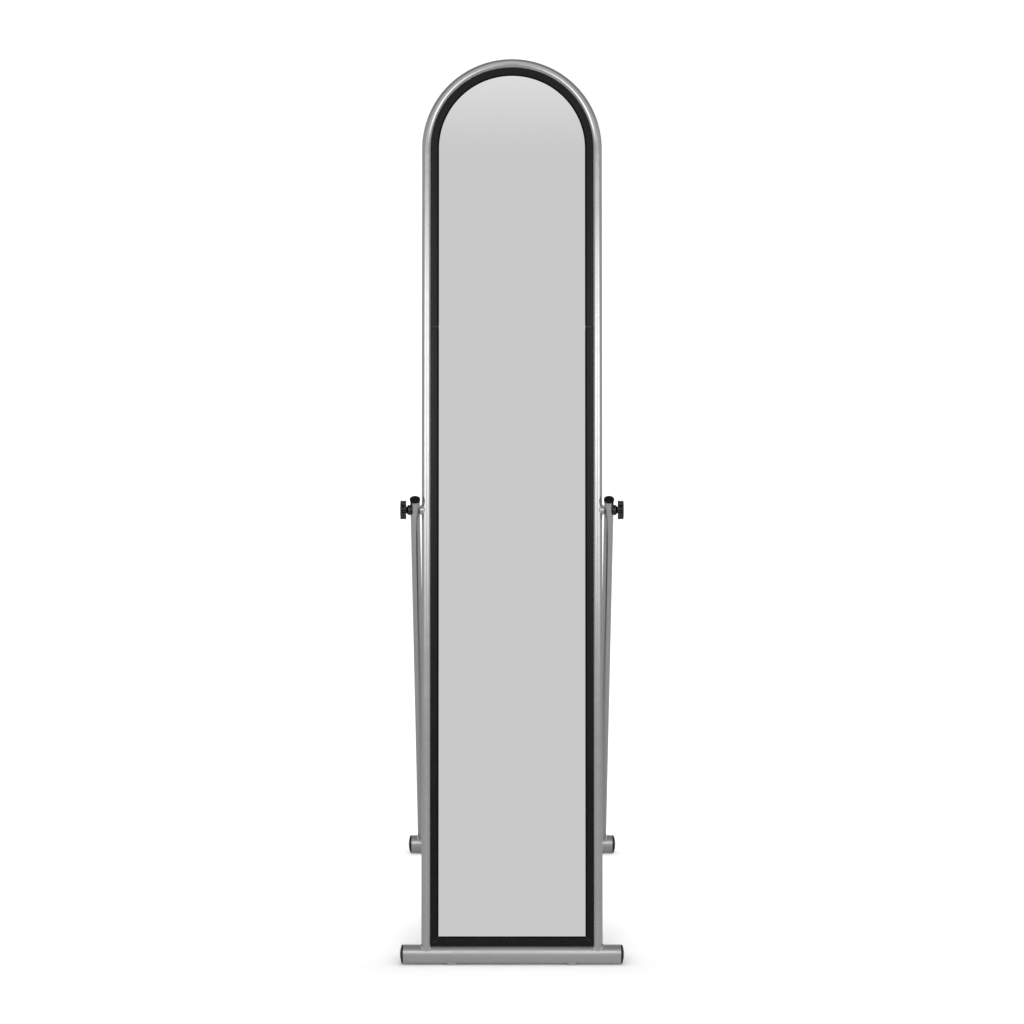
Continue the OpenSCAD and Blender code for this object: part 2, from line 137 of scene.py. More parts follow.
FACE_ROUND = 0.4 * MM

TAB_LOW = 120 * MM
TAB_PITCH = 270 * MM
TAB_PAIRS = 5
TAB_W = 14 * MM
TAB_T = 1.5 * MM
TAB_Y = 6.2 * MM
TAB_END = 4.5 * MM
TAB_SCREW_IN = 4.5 * MM
TAB_INTO_TUBE = 3.6 * MM
TAB_CORNER = 3 * MM
TAB_EDGE = 0.25 * MM
TACK = (1.5 * MM, 1 * MM, 2.2 * MM)
TACK_IN = 0.6 * MM
TACK_APART = 0.3
SCREW_HEAD_R = 3.5 * MM
SCREW_HEAD_H = 2 * MM
SCREW_HEAD_CURVE = ((0.94, 0.25), (1, 0.6), (1, 0.85), (0.97, 1))
SCREW_TOP_SHARE = 0.8
SCREW_R = 1.75 * MM
SCREW_LEN = 5.5 * MM
CROSS_HALF = 2.1 * MM
CROSS_SQUARES = 6
CROSS_DEEP = 1.1 * MM
CROSS_TAPER = 0.8

CAP_RIM = 2.2 * MM
CAP_DOME = foot_end - foot_tube_half - CAP_RIM
CAP_PLUG_LEN = 14 * MM
CAP_PLUG_WALL = 1.6 * MM
CAP_CLEAR = 0.1 * MM
CAP_EDGE = 0.35 * MM
DOME_STEPS = 14

GLIDE_WALL = 1.8 * MM
GLIDE_CLEAR = 0.1 * MM
GLIDE_WRAP = math.radians(40)
GLIDE_STEPS = 24
GLIDE_EDGE = 0.35 * MM

FOOT_BEAD = 2.2 * MM
LUG_BEAD = 1.5 * MM
BEAD_CLEAR = 0.2 * MM
BEAD_SIDES = 20
BEAD_SHRINK = 0.1
FOOT_RIPPLES = 34
LUG_RIPPLES = 26
RIPPLE_STEPS = 8
RIPPLE_MEAN = 0.6
RIPPLE_SWELL = 0.17
DRIFT_SWELL = 0.2
DRIFT_PACE = 2

LEG_ABOVE = 22 * MM
LEG_CAP_CLEAR = 0.05 * MM
LEG_CAP_SKIRT = 2.2 * MM
LEG_CAP_PLUG_LEN = 10 * MM
LEG_CAP_PLUG_WALL = 1.2 * MM
LEG_CAP_TOP = 1.4 * MM
LEG_CAP_DOME = 3 * MM
LEG_CAP_EDGE = 0.3 * MM

LUG_R = 7.5 * MM
LUG_EDGE = 0.4 * MM
PIVOT_BORE = 3.05 * MM
LOOSE_BORE = 3.35 * MM
SADDLE_CLEAR = 0.3 * MM
WASHER_R = 8.7 * MM
WASHER_TIP_R = 5.8 * MM
WASHER_CONE = 2.7 * MM
WASHER_EDGE = 0.4 * MM
WASHER_RINGS = 8

KNOB_T = 9.8 * MM
KNOB_LOBES = 8
LOBE_POINTS = 24
CORE_R = 12.2 * MM
LOBE_R = 3.5 * MM
LOBE_RING = 12.5 * MM
LOBE_BLEND = 0.5 * MM
OUTLINE_IN = 0.1 * MM
HUB_R = 5.5 * MM
HUB_EDGE = 0.3 * MM
HUB_FILLET = 0.4 * MM
RECESS_R = 8.5 * MM
RECESS = 1 * MM
KNOB_ROUND = 1.1 * MM
KNOB_FLAT_IN = 1.6 * MM
KNOB_MIDDLE_R = 0.2 * MM
BULGE_STEPS = 9
BULGE_POWER = 2.6

TUBE_SIDES = 64
FOOT_SIDES = 96
ARCH_STEPS = 128
TUBE_EDGE = 0.3 * MM

tube_mid_up = FRAME_LEN - frame_r - tube_x
knob_x = knob_out - KNOB_T
wall_outer = panel_r + WALL_BEYOND_GLASS
trim_inner = trim_outer - TRIM_FACE
trim_bottom_in = TRIM_LOW + TRIM_BOTTOM_FACE

# ---- the spaces that pieces are modelled in ----

leg_reach = Vector((rear_y - pivot.y, pivot.z - axis_up))
LEG_LEN = leg_reach.length
leg_angle = math.atan2(leg_reach.x, leg_reach.y)

front_foot = Matrix.Translation((0, front_y, axis_up))
rear_foot = Matrix.Translation((0, rear_y, axis_up))
leaning = front_foot @ Matrix.Rotation(-LEAN, 4, "X") @ Matrix.Translation((0, -FRAME_FORWARD, 0))
stand = Matrix.Translation((0, pivot.y, pivot.z)) @ Matrix.Rotation(leg_angle, 4, "X")

Z_TO_X = Matrix.Rotation(math.radians(90), 4, "Y")
LEFT, RIGHT = -1, 1
SIDES = {"left": LEFT, "right": RIGHT}

# ---- modelling helpers ----


def lathe(outline, steps=FOOT_SIDES):
    """Spins a closed section of (along, radius) points once round the X axis."""
    bm = bmesh.new()
    verts = [bm.verts.new((along, 0, radius)) for along, radius in outline]
    edges = [bm.edges.new(pair) for pair in zip(verts, verts[1:] + verts[:1])]
    bmesh.ops.spin(bm, geom=verts + edges, cent=(0, 0, 0), axis=(1, 0, 0),
                   angle=math.tau, steps=steps, use_merge=True)
    bmesh.ops.remove_doubles(bm, verts=bm.verts, dist=MERGE)
    bmesh.ops.delete(bm, geom=[edge for edge in bm.edges if edge.is_wire], context="EDGES")
    bmesh.ops.recalc_face_normals(bm, faces=bm.faces)
    return bm


def soften(bm, width, segments=2, over=40):
    """Rounds the edges where two faces turn by more than an angle in degrees."""
    sharp = [edge for edge in bm.edges if edge.calc_face_angle(0) > math.radians(over)]
    bmesh.ops.bevel(bm, geom=sharp, offset=width, offset_type="OFFSET", segments=segments,
                    profile=0.5, affect="EDGES", clamp_overlap=True, material=-1)


def open_edges(bm):
    """The edges that have a face on one side only."""
    return [edge for edge in bm.edges if edge.is_boundary]


def everything(bm):
    """The whole mesh, as an operator's geometry."""
    return bm.verts[:] + bm.edges[:] + bm.faces[:]


def fresh_verts(made):
    """The vertices among the geometry that an operator made."""
    return [item for item in made if isinstance(item, bmesh.types.BMVert)]


def extruded(bm, edges):
    """Extrudes a loop of edges on the spot, and gives the new vertices and edges."""
    verts = fresh_verts(bmesh.ops.extrude_edge_only(bm, edges=edges)["geom"])
    fresh = set(verts)
    rim = [edge for edge in bm.edges if edge.verts[0] in fresh and edge.verts[1] in fresh]
    return verts, rim


def saddle(y, seat_r, shift=0.0):
    """Height of a seat pipe's surface over its axis. A y of 0 lies shift in front of that axis."""
    return math.sqrt(max(seat_r ** 2 - (y - shift) ** 2, 0))


def arc(centre, radius, start, end, steps):
    """Points of an arc in the plane of a section, angles in degrees."""
    along, up = centre
    turn = [math.radians(start + (end - start) * step / steps) for step in range(steps + 1)]
    return [(along + radius * math.cos(a), up + radius * math.sin(a)) for a in turn]


def finish(name, bm, space, body, node, materials, side=RIGHT, sharp=30):
    """Puts a modelled shape in its place, on its body and in its CAD node's stead."""
    if side == LEFT:
        bmesh.ops.scale(bm, vec=(-1, 1, 1), verts=bm.verts)
        bmesh.ops.reverse_faces(bm, faces=bm.faces)
    bmesh.ops.transform(bm, matrix=space, verts=bm.verts)
    mesh = bpy.data.meshes.new(name)
    bm.to_mesh(mesh)
    bm.free()
    mesh.shade_smooth()
    mesh.set_sharp_from_angle(angle=math.radians(sharp))
    for material in materials:
        mesh.materials.append(material)
    piece = bpy.data.objects.new(name, mesh)
    bpy.context.scene.collection.objects.link(piece)
    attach(piece, body)
    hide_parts(node)


# ---- materials ----


def add(tree, kind, inputs=None, **settings):
    """Adds a shader node; an input is either a plain value or another node's output."""
    made = tree.nodes.new(kind)
    for key, value in settings.items():
        setattr(made, key, value)
    for key, value in (inputs or {}).items():
        if isinstance(value, bpy.types.NodeSocket):
            tree.links.new(value, made.inputs[key])
        else:
            made.inputs[key].default_value = value
    return made


def grey(value, blue=1.0):
    """A grey, with a touch more or less blue."""
    return (value, value, value * blue, 1)


class Finish:
    """A material under construction, with patterns that read Object coordinates."""

    def __init__(self, name, **constants):
        self.material = bpy.data.materials.new(name)
        self.material.use_nodes = True
        self.tree = self.material.node_tree
        self.shader = self.tree.nodes["Principled BSDF"]
        for key, value in constants.items():
            self.shader.inputs[key.replace("_", " ")].default_value = value
        self.place = add(self.tree, "ShaderNodeTexCoord").outputs["Object"]

    def stretched(self, scale):
        """Object coordinates with a scale of their own along each axis."""
        return add(self.tree, "ShaderNodeMapping",
                   {"Vector": self.place, "Scale": scale}).outputs[0]

    def noise(self, scale, detail=3.0, roughness=0.55, place=None):
        """Soft clouds, or streaks where the place is stretched."""
        return add(self.tree, "ShaderNodeTexNoise",
                   {"Vector": place or self.place, "Scale": scale, "Detail": detail,
                    "Roughness": roughness}).outputs["Fac"]

    def streaks(self, scale, detail, roughness):
        """Noise drawn out along the axes whose scale is the smaller."""
        return self.noise(1.0, detail, roughness, self.stretched(scale))

    def cells(self, scale, output="Distance"):
        """Small grains, by the distance to their middles or by a colour for each."""
        return add(self.tree, "ShaderNodeTexVoronoi",
                   {"Vector": self.place, "Scale": scale}).outputs[output]

    def ranged(self, value, low, high, start=0.0, end=1.0):
        """A pattern's values from start to end, spread from low to high."""
        return add(self.tree, "ShaderNodeMapRange",
                   {"Value": value, "From Min": start, "From Max": end,
                    "To Min": low, "To Max": high}, interpolation_type="SMOOTHSTEP").outputs[0]

    def mixed(self, factor, first, second, blend="MIX"):
        """Two colours mixed by a factor."""
        mix = add(self.tree, "ShaderNodeMix", data_type="RGBA", blend_type=blend)
        for socket, value in zip((mix.inputs[0], mix.inputs[6], mix.inputs[7]),
                                 (factor, first, second)):
            if isinstance(value, bpy.types.NodeSocket):
                self.tree.links.new(value, socket)
            else:
                socket.default_value = value
        return mix.outputs[2]

    def math(self, operation, first, second):
        """Two values calculated into one."""
        return add(self.tree, "ShaderNodeMath", {0: first, 1: second},
                   operation=operation).outputs[0]

    def bump(self, height, strength, depth):
        """A relief of a pattern's height, as deep as given in metres."""
        return add(self.tree, "ShaderNodeBump",
                   {"Height": height, "Strength": strength, "Distance": depth}).outputs[0]

    def use(self, **links):
        """Links patterns to the shader's inputs and gives the finished material."""
        for key, value in links.items():
            self.tree.links.new(value, self.shader.inputs[key.replace("_", " ")])
        return self.material


def silver_lacquer(name, light=0.52, rough=0.18, bead=False):
    """Silver-grey lacquer on steel tube: fine metal flake under a slightly uneven clear coat."""
    paint = Finish(name, Metallic=0.92, Coat_Weight=0.25, Coat_Roughness=0.12)
    flake = paint.ranged(paint.cells(2600, output="Color"), 0.93, 1.07)
    cloud = paint.ranged(paint.noise(9, 4), 0.0, 1.0, 0.3, 0.7)
    tone = paint.mixed(cloud, grey(light * 0.97, 1.015), grey(light * 1.03, 1.01))
    tone = paint.mixed(1.0, tone, flake, "MULTIPLY")
    scuffs = paint.ranged(paint.streaks((140, 900, 60), 6, 0.7), 0, 1, 0.62, 0.8)
    roughness = paint.ranged(paint.noise(60, 5), rough - 0.04, rough + 0.05, 0.3, 0.7)
    roughness = paint.math("ADD", roughness, paint.math("MULTIPLY", scuffs, 0.12))
    peel = paint.bump(paint.noise(900 if bead else 420, 2), 0.2 if bead else 0.05, 0.06 * MM)
    return paint.use(Base_Color=tone, Roughness=roughness, Normal=peel)


def black_trim():
    """Satin black extrusion, with faint streaks from the die and a little dust."""
    plastic = Finish("black_trim_satin", Specular_IOR_Level=0.26)
    streaks = plastic.streaks((900, 900, 12), 4, 0.6)
    cloud = plastic.noise(25, 4)
    tone = plastic.mixed(plastic.ranged(cloud, 0, 1, 0.35, 0.7),
                         grey(0.0025, 1.04), grey(0.005, 1.06))
    roughness = plastic.math("ADD", plastic.ranged(streaks, 0.24, 0.32, 0.3, 0.7),
                             plastic.ranged(cloud, 0, 0.06, 0.4, 0.7))
    skin = plastic.bump(streaks, 0.08, 0.05 * MM)
    return plastic.use(Base_Color=tone, Roughness=roughness, Normal=skin)


def black_lip():
    """The trim's soft inner lip, matt and nearly black."""
    rubber = Finish("black_trim_lip", Specular_IOR_Level=0.12)
    grain = rubber.noise(700, 3)
    tone = rubber.mixed(grain, grey(0.0025), grey(0.0055))
    roughness = rubber.ranged(grain, 0.7, 0.85, 0.3, 0.7)
    skin = rubber.bump(grain, 0.15, 0.05 * MM)
    return rubber.use(Base_Color=tone, Roughness=roughness, Normal=skin)


def moulded_black():
    """Black moulded plastic of the knobs and washers, with a fine spark-eroded grain."""
    plastic = Finish("black_moulded", Specular_IOR_Level=0.7)
    grain = plastic.cells(1500)
    cloud = plastic.noise(70, 4)
    tone = plastic.mixed(plastic.ranged(cloud, 0, 1, 0.35, 0.7),
                         grey(0.0015, 1.03), grey(0.004, 1.05))
    roughness = plastic.ranged(plastic.noise(180, 4), 0.13, 0.21, 0.3, 0.7)
    skin = plastic.bump(grain, 0.14, 0.05 * MM)
    return plastic.use(Base_Color=tone, Roughness=roughness, Normal=skin)


def cap_black():
    """Deep black plastic of the end caps, smoother than the knobs, with a few fine scuffs."""
    plastic = Finish("black_cap_plastic", Specular_IOR_Level=0.2)
    cloud = plastic.noise(90, 4)
    scuffs = plastic.ranged(plastic.streaks((1400, 260, 260), 5, 0.7), 0, 1, 0.6, 0.8)
    tone = plastic.mixed(plastic.ranged(cloud, 0, 1, 0.35, 0.7),
                         grey(0.0025, 1.02), grey(0.005, 1.04))
    tone = plastic.mixed(plastic.math("MULTIPLY", scuffs, 0.5), tone, grey(0.02, 1.02))
    roughness = plastic.math("ADD", plastic.ranged(cloud, 0.16, 0.24, 0.3, 0.7),
                             plastic.math("MULTIPLY", scuffs, 0.2))
    skin = plastic.bump(plastic.cells(1900), 0.06, 0.04 * MM)
    return plastic.use(Base_Color=tone, Roughness=roughness, Normal=skin)


def mirror_face():
    """Clear silvered glass, with the faintest smears and ripple."""
    silvering = Finish("mirror_silvered", Metallic=1.0)
    smear = silvering.streaks((14, 14, 5), 5, 0.6)
    tone = silvering.mixed(smear, (0.868, 0.878, 0.872, 1), (0.88, 0.89, 0.884, 1))
    roughness = silvering.ranged(smear, 0.004, 0.022, 0.35, 0.75)
    ripple = silvering.bump(silvering.noise(6, 1), 0.04, 0.02 * MM)
    return silvering.use(Base_Color=tone, Roughness=roughness, Normal=ripple)


def glass_edge():
    """The ground green edge of the glass."""
    edge = Finish("mirror_glass_edge", IOR=1.52)
    frost = edge.noise(900, 3)
    tone = edge.mixed(frost, (0.09, 0.22, 0.17, 1), (0.17, 0.34, 0.27, 1))
    return edge.use(Base_Color=tone, Roughness=edge.ranged(frost, 0.3, 0.5, 0.3, 0.7))


def mirror_paint():
    """The grey paint that protects the silvering from behind."""
    paint = Finish("mirror_back_paint", Specular_IOR_Level=0.4)
    cloud = paint.noise(35, 4)
    tone = paint.mixed(cloud, (0.1, 0.115, 0.125, 1), (0.15, 0.165, 0.175, 1))
    return paint.use(Base_Color=tone, Roughness=paint.ranged(cloud, 0.4, 0.6, 0.3, 0.7),
                     Normal=paint.bump(paint.noise(300, 3), 0.1, 0.1 * MM))


def fibreboard():
    """Brown hardboard: pressed fibres, darker flecks and a smooth, faintly waxy side."""
    board = Finish("fibreboard_brown", Specular_IOR_Level=0.35)
    fibres = board.streaks((420, 420, 130), 6, 0.7)
    across = board.streaks((130, 420, 480), 5, 0.7)
    cloud = board.noise(11, 5)
    tone = board.mixed(board.ranged(cloud, 0, 1, 0.3, 0.7),
                       (0.112, 0.072, 0.042, 1), (0.165, 0.11, 0.068, 1))
    tone = board.mixed(board.ranged(fibres, 0, 0.7, 0.5, 0.75), tone, (0.235, 0.165, 0.105, 1))
    tone = board.mixed(board.ranged(across, 0, 0.75, 0.56, 0.78), tone, (0.056, 0.036, 0.022, 1))
    roughness = board.ranged(fibres, 0.42, 0.62, 0.3, 0.7)
    press = board.bump(board.math("ADD", fibres, across), 0.25, 0.08 * MM)
    return board.use(Base_Color=tone, Roughness=roughness, Normal=press)


def zinc_plate():
    """Zinc plated steel, slightly blue in places and straw-coloured in others."""
    zinc = Finish("zinc_plate", Metallic=1.0)
    tint = zinc.noise(160, 3)
    tone = zinc.mixed(zinc.ranged(tint, 0, 1, 0.35, 0.65),
                      (0.5, 0.53, 0.58, 1), (0.62, 0.59, 0.5, 1))
    turned = zinc.streaks((2600, 300, 300), 4, 0.6)
    roughness = zinc.ranged(turned, 0.24, 0.42, 0.3, 0.7)
    return zinc.use(Base_Color=tone, Roughness=roughness, Normal=zinc.bump(turned, 0.15, 0.03 * MM))


def glide_plastic():
    """Light translucent plastic of the glides, scuffed where they touch the floor."""
    plastic = Finish("glide_plastic", Specular_IOR_Level=0.45, Subsurface_Weight=0.15,
                     Subsurface_Scale=2 * MM)
    cloud = plastic.noise(240, 4)
    scuffs = plastic.ranged(plastic.streaks((300, 1500, 900), 5, 0.7), 0, 0.6, 0.5, 0.75)
    tone = plastic.mixed(cloud, grey(0.62, 0.99), grey(0.7, 0.985))
    tone = plastic.mixed(scuffs, tone, grey(0.42, 0.97))
    return plastic.use(Base_Color=tone, Roughness=plastic.ranged(cloud, 0.38, 0.55, 0.3, 0.7),
                       Normal=plastic.bump(cloud, 0.12, 0.05 * MM))


LACQUER = silver_lacquer("silver_lacquer")
THICK_LACQUER = silver_lacquer("silver_lacquer_on_feet", rough=0.38)
# the weld's lacquer is a lighter copy of the tubes' lacquer: painted highlight, so that the beads
# glint more brightly than the same paint elsewhere
GLINT_LIGHTENED_BEAD_LACQUER = silver_lacquer("silver_lacquer_on_weld_lightened_for_glints", light=0.6, rough=0.14, bead=True)
TRIM = black_trim()
LIP = black_lip()
MOULDED = moulded_black()
CAP = cap_black()
MIRROR = mirror_face()
GLASS_EDGE = glass_edge()
MIRROR_PAINT = mirror_paint()
BOARD = fibreboard()
ZINC = zinc_plate()
GLIDE = glide_plastic()

# ---- tubes ----


def arched_tube():
    """The frame's tube: an arch, its two straight sides, and ends cut to sit on the front foot."""
    bm = bmesh.new()
    bmesh.ops.create_circle(bm, cap_ends=False, segments=TUBE_SIDES, radius=frame_r,
                            matrix=Matrix.Translation((tube_x, 0, tube_mid_up)))
    bmesh.ops.spin(bm, geom=everything(bm), cent=(0, 0, tube_mid_up), axis=(0, -1, 0),
                   angle=math.pi, steps=ARCH_STEPS)
    ends, _ = extruded(bm, open_edges(bm))
    for vert in ends:
        vert.co.z = saddle(vert.co.y, foot_r, FRAME_FORWARD)
    bmesh.ops.recalc_face_normals(bm, faces=bm.faces)
    bmesh.ops.solidify(bm, geom=bm.faces[:], thickness=TUBE_WALL)
    return bm


def foot_tube():
    """A foot's cross tube, with its sawn ends slightly deburred."""
    bore = foot_r - FOOT_WALL
    bm = lathe([(-foot_tube_half, bore), (-foot_tube_half, foot_r),
                (foot_tube_half, foot_r), (foot_tube_half, bore)])
    soften(bm, TUBE_EDGE)
    return bm


def leg_tube():
    """One leg of the stand, cut at the bottom to sit on the rear foot."""
    bm = bmesh.new()
    bmesh.ops.create_circle(bm, cap_ends=False, segments=TUBE_SIDES, radius=leg_r,
                            matrix=Matrix.Translation((leg_x, 0, LEG_ABOVE)))
    ends, _ = extruded(bm, bm.edges[:])
    for vert in ends:
        vert.co.z = saddle(vert.co.y, foot_r) - LEG_LEN
    bmesh.ops.recalc_face_normals(bm, faces=bm.faces)
    bmesh.ops.solidify(bm, geom=bm.faces[:], thickness=TUBE_WALL)
    return bm


def saddle_bead(pipe_r, seat_r, bead, seed, shift=0.0, ripples=FOOT_RIPPLES):
    """A rippled weld bead round a pipe along Z, where it stands on a seat pipe along X."""
    bm = bmesh.new()
    upright = Matrix.Translation((pipe_r, 0, 0)) @ Matrix.Rotation(math.pi / 2, 4, "X")
    bmesh.ops.create_circle(bm, cap_ends=False, segments=BEAD_SIDES, radius=bead, matrix=upright)
    bmesh.ops.spin(bm, geom=everything(bm), cent=(0, 0, 0), axis=(0, 0, 1),
                   angle=math.tau, steps=ripples * RIPPLE_STEPS, use_merge=True)
    bmesh.ops.remove_doubles(bm, verts=bm.verts, dist=MERGE)
    bmesh.ops.recalc_face_normals(bm, faces=bm.faces)
    for vert in bm.verts:
        around = math.atan2(vert.co.y, vert.co.x)
        root = Vector((pipe_r * math.cos(around), pipe_r * math.sin(around), 0))
        wave = abs(math.sin(around * ripples / 2)) - RIPPLE_MEAN
        drift = noise.noise(Vector((math.cos(around) * DRIFT_PACE, math.sin(around) * DRIFT_PACE,
                                    seed)))
        swell = 1 + RIPPLE_SWELL * wave + DRIFT_SWELL * drift - BEAD_SHRINK
        vert.co = root + (vert.co - root) * swell
        vert.co.z += saddle(root.y, seat_r, shift)
    return bm


def frame_bead():
    """The bead between a frame tube and the front foot, kept clear of the trim."""
    bm = saddle_bead(frame_r, foot_r, FOOT_BEAD, seed=1.5, shift=FRAME_FORWARD)
    bmesh.ops.translate(bm, vec=(tube_x, 0, 0), verts=bm.verts)
    cut = trim_outer + BEAD_CLEAR
    bmesh.ops.bisect_plane(bm, geom=everything(bm), plane_co=(cut, 0, 0), plane_no=(1, 0, 0),
                           clear_inner=True)
    bmesh.ops.holes_fill(bm, edges=open_edges(bm))
    return bm


def leg_bead():
    """The bead between a leg and the rear foot."""
    bm = saddle_bead(leg_r, foot_r, FOOT_BEAD, seed=4.2)
    bmesh.ops.translate(bm, vec=(leg_x, 0, -LEG_LEN), verts=bm.verts)
    return bm


def lug_bead():
    """The bead round a pivot lug on the frame tube."""
    bm = saddle_bead(LUG_R, frame_r, LUG_BEAD, seed=7.7, ripples=LUG_RIPPLES)
    bmesh.ops.transform(bm, matrix=Z_TO_X, verts=bm.verts)
    bmesh.ops.translate(bm, vec=(tube_x, 0, PIVOT_UP), verts=bm.verts)
    for vert in bm.verts:
        vert.co.x = min(vert.co.x, lug_face)
    return bm


def pivot_lug():
    """The threaded lug: coped onto the frame tube, faced off towards the leg."""
    thick = lug_face - tube_x
    bm = lathe([(0, PIVOT_BORE), (0, LUG_R), (thick, LUG_R), (thick, PIVOT_BORE)], TUBE_SIDES)
    for vert in bm.verts:
        if vert.co.x < thick / 2:
            vert.co.x = saddle(vert.co.y, frame_r - TUBE_WALL / 2)
    face_rim = [edge for edge in bm.edges
                if all(math.isclose(vert.co.x, thick, abs_tol=0.01 * MM) for vert in edge.verts)]
    bmesh.ops.bevel(bm, geom=face_rim, offset=LUG_EDGE, offset_type="OFFSET", segments=2,
                    profile=0.5, affect="EDGES", material=-1)
    bmesh.ops.translate(bm, vec=(tube_x, 0, PIVOT_UP), verts=bm.verts)
    return bm


# ---- caps and glides ----


def dome(start, radius, rise):
    """The section of a domed end, from its rim to the axis."""
    ball = (radius ** 2 + rise ** 2) / (2 * rise)
    open_angle = math.degrees(math.asin(radius / ball))
    return arc((start + rise - ball, 0), ball, open_angle, 0, DOME_STEPS)


def foot_cap():
    """A domed black end plug, with the ring of its plug inside the tube."""
    plug_r = foot_r - FOOT_WALL - CAP_CLEAR
    sleeve = plug_r - CAP_PLUG_WALL
    plug = [(CAP_RIM / 2, 0), (CAP_RIM / 2, sleeve - CAP_PLUG_WALL), (0, sleeve),
            (-CAP_PLUG_LEN, sleeve), (-CAP_PLUG_LEN, plug_r), (0, plug_r), (0, foot_r)]
    bm = lathe(plug + dome(CAP_RIM, foot_r, CAP_DOME))
    soften(bm, CAP_EDGE, 3, over=45)
    bmesh.ops.translate(bm, vec=(foot_tube_half, 0, 0), verts=bm.verts)
    return bm


def leg_cap():
    """A domed black cap over a leg's top end."""
    inner = leg_r + LEG_CAP_CLEAR
    plug_r = leg_r - TUBE_WALL - LEG_CAP_CLEAR
    sleeve = plug_r - LEG_CAP_PLUG_WALL
    plug = [(0, 0), (0, sleeve), (-LEG_CAP_PLUG_LEN, sleeve), (-LEG_CAP_PLUG_LEN, plug_r),
            (0, plug_r), (0, inner), (-LEG_CAP_SKIRT, inner), (-LEG_CAP_SKIRT, leg_cap_r)]
    bm = lathe(plug + dome(LEG_CAP_TOP, leg_cap_r, LEG_CAP_DOME), TUBE_SIDES)
    soften(bm, LEG_CAP_EDGE, 3, over=35)
    bmesh.ops.transform(bm, matrix=Z_TO_X.inverted(), verts=bm.verts)
    bmesh.ops.translate(bm, vec=(leg_x, 0, LEG_ABOVE + LEG_CAP_CLEAR), verts=bm.verts)
    return bm


def glide():
    """A glide's saddle under a foot, flattened where it rests on the floor."""
    inner = foot_r + GLIDE_CLEAR
    outer = foot_r + GLIDE_WALL
    section = [(-glide_half, inner), (-glide_half, outer), (glide_half, outer), (glide_half, inner)]
    bm = bmesh.new()
    verts = [bm.verts.new((along, 0, -radius)) for along, radius in section]
    face = bm.faces.new(verts)
    bmesh.ops.rotate(bm, cent=(0, 0, 0), matrix=Matrix.Rotation(-GLIDE_WRAP, 3, "X"), verts=verts)
    bmesh.ops.spin(bm, geom=[face] + face.edges[:] + verts, cent=(0, 0, 0), axis=(1, 0, 0),
                   angle=2 * GLIDE_WRAP, steps=GLIDE_STEPS)
    bmesh.ops.bisect_plane(bm, geom=everything(bm), plane_co=(0, 0, -axis_up),
                           plane_no=(0, 0, -1), clear_outer=True)
    bmesh.ops.holes_fill(bm, edges=open_edges(bm))
    bmesh.ops.recalc_face_normals(bm, faces=bm.faces)
    soften(bm, GLIDE_EDGE, 3, over=35)
    bmesh.ops.translate(bm, vec=(glide_mid, 0, 0), verts=bm.verts)
    return bm


# ---- mirror panel ----


def arched_sheet(sheet_y, thickness, arris):
    """An arched sheet with eased edges, its face towards -Y."""
    bm = bmesh.new()
    right = bm.verts.new((panel_r, sheet_y, tube_mid_up))
    made = bmesh.ops.spin(bm, geom=[right], cent=(0, 0, tube_mid_up), axis=(0, -1, 0),
                          angle=math.pi, steps=ARCH_STEPS)
    left = fresh_verts(made["geom_last"])[0]
    corners = bmesh.ops.extrude_vert_indiv(bm, verts=[right, left])["verts"]
    for corner in corners:
        corner.co.z = PANEL_UP
    bm.edges.new(corners)
    face = bmesh.ops.contextual_create(bm, geom=bm.edges[:])["faces"][0]
    back = fresh_verts(bmesh.ops.extrude_face_region(bm, geom=[face])["geom"])
    bmesh.ops.translate(bm, vec=(0, thickness, 0), verts=back)
    bmesh.ops.recalc_face_normals(bm, faces=bm.faces)
    soften(bm, arris, 2, over=60)
    return bm


def mirror_glass():
    """The glass: silvered face, green ground edge and painted back."""
    bm = arched_sheet(GLASS_Y, GLASS_T, GLASS_ARRIS)
    front, edge, back = range(3)
    for face in bm.faces:
        towards = face.normal.y
        face.material_index = (front if towards < -FACE_TURNED else
                               back if towards > FACE_TURNED else edge)
    return bm


# ---- trim ----


def trim_points(width, lap):
    """The channel's section, as (across from the face's inner edge, depth) points."""
    flat = FACE_Y + RIB_RISE
    points = [(0, GLASS_Y), (0, GLASS_Y - LIP_EDGE),
              (LIP_SLOPE * LIP_KNEE, flat + LIP_KNEE_SUNK), (LIP_SLOPE, flat)]
    for middle in RIBS:
        points += [(middle - RIB_HALF * math.cos(turn), flat - RIB_RISE * math.sin(turn))
                   for turn in (math.pi * step / RIB_STEPS for step in range(RIB_STEPS + 1))]
    points += [(width - FACE_ROUND + x, LAP_BACK_Y + y)
               for x, y in arc((0, 0), FACE_ROUND, -90, 0, 4)]
    wall_out = width - lap
    wall_in = wall_out - TRIM_WALL
    points += [(wall_out, LAP_BACK_Y), (wall_out, TRIM_BACK_Y),
               (wall_in - FLANGE_W, TRIM_BACK_Y), (wall_in - FLANGE_W, FLANGE_Y),
               (wall_in, FLANGE_Y), (wall_in, GLASS_Y)]
    return points


def trim_section(points, place):
    """Starts a mesh with the section's closed loop; place turns (across, depth) into a point."""
    bm = bmesh.new()
    verts = [bm.verts.new(place(across, depth)) for across, depth in points]
    for pair in zip(verts, verts[1:] + verts[:1]):
        bm.edges.new(pair)
    return bm


def mark_lip(bm, on_slope):
    """Gives the faces of the soft inner lip the second material."""
    for face in bm.faces:
        middle = face.calc_center_median()
        face.material_index = 1 if middle.y < GLASS_Y and on_slope(middle) else 0


def close_trim(bm, on_slope):
    """Closes a trim piece's cut ends and marks its lip."""
    bmesh.ops.holes_fill(bm, edges=open_edges(bm))
    bmesh.ops.recalc_face_normals(bm, faces=bm.faces)
    mark_lip(bm, on_slope)
    return bm


def side_place(up):
    """Puts the section of the right side's trim at a height."""
    return lambda across, depth: (trim_inner + across, depth, up)


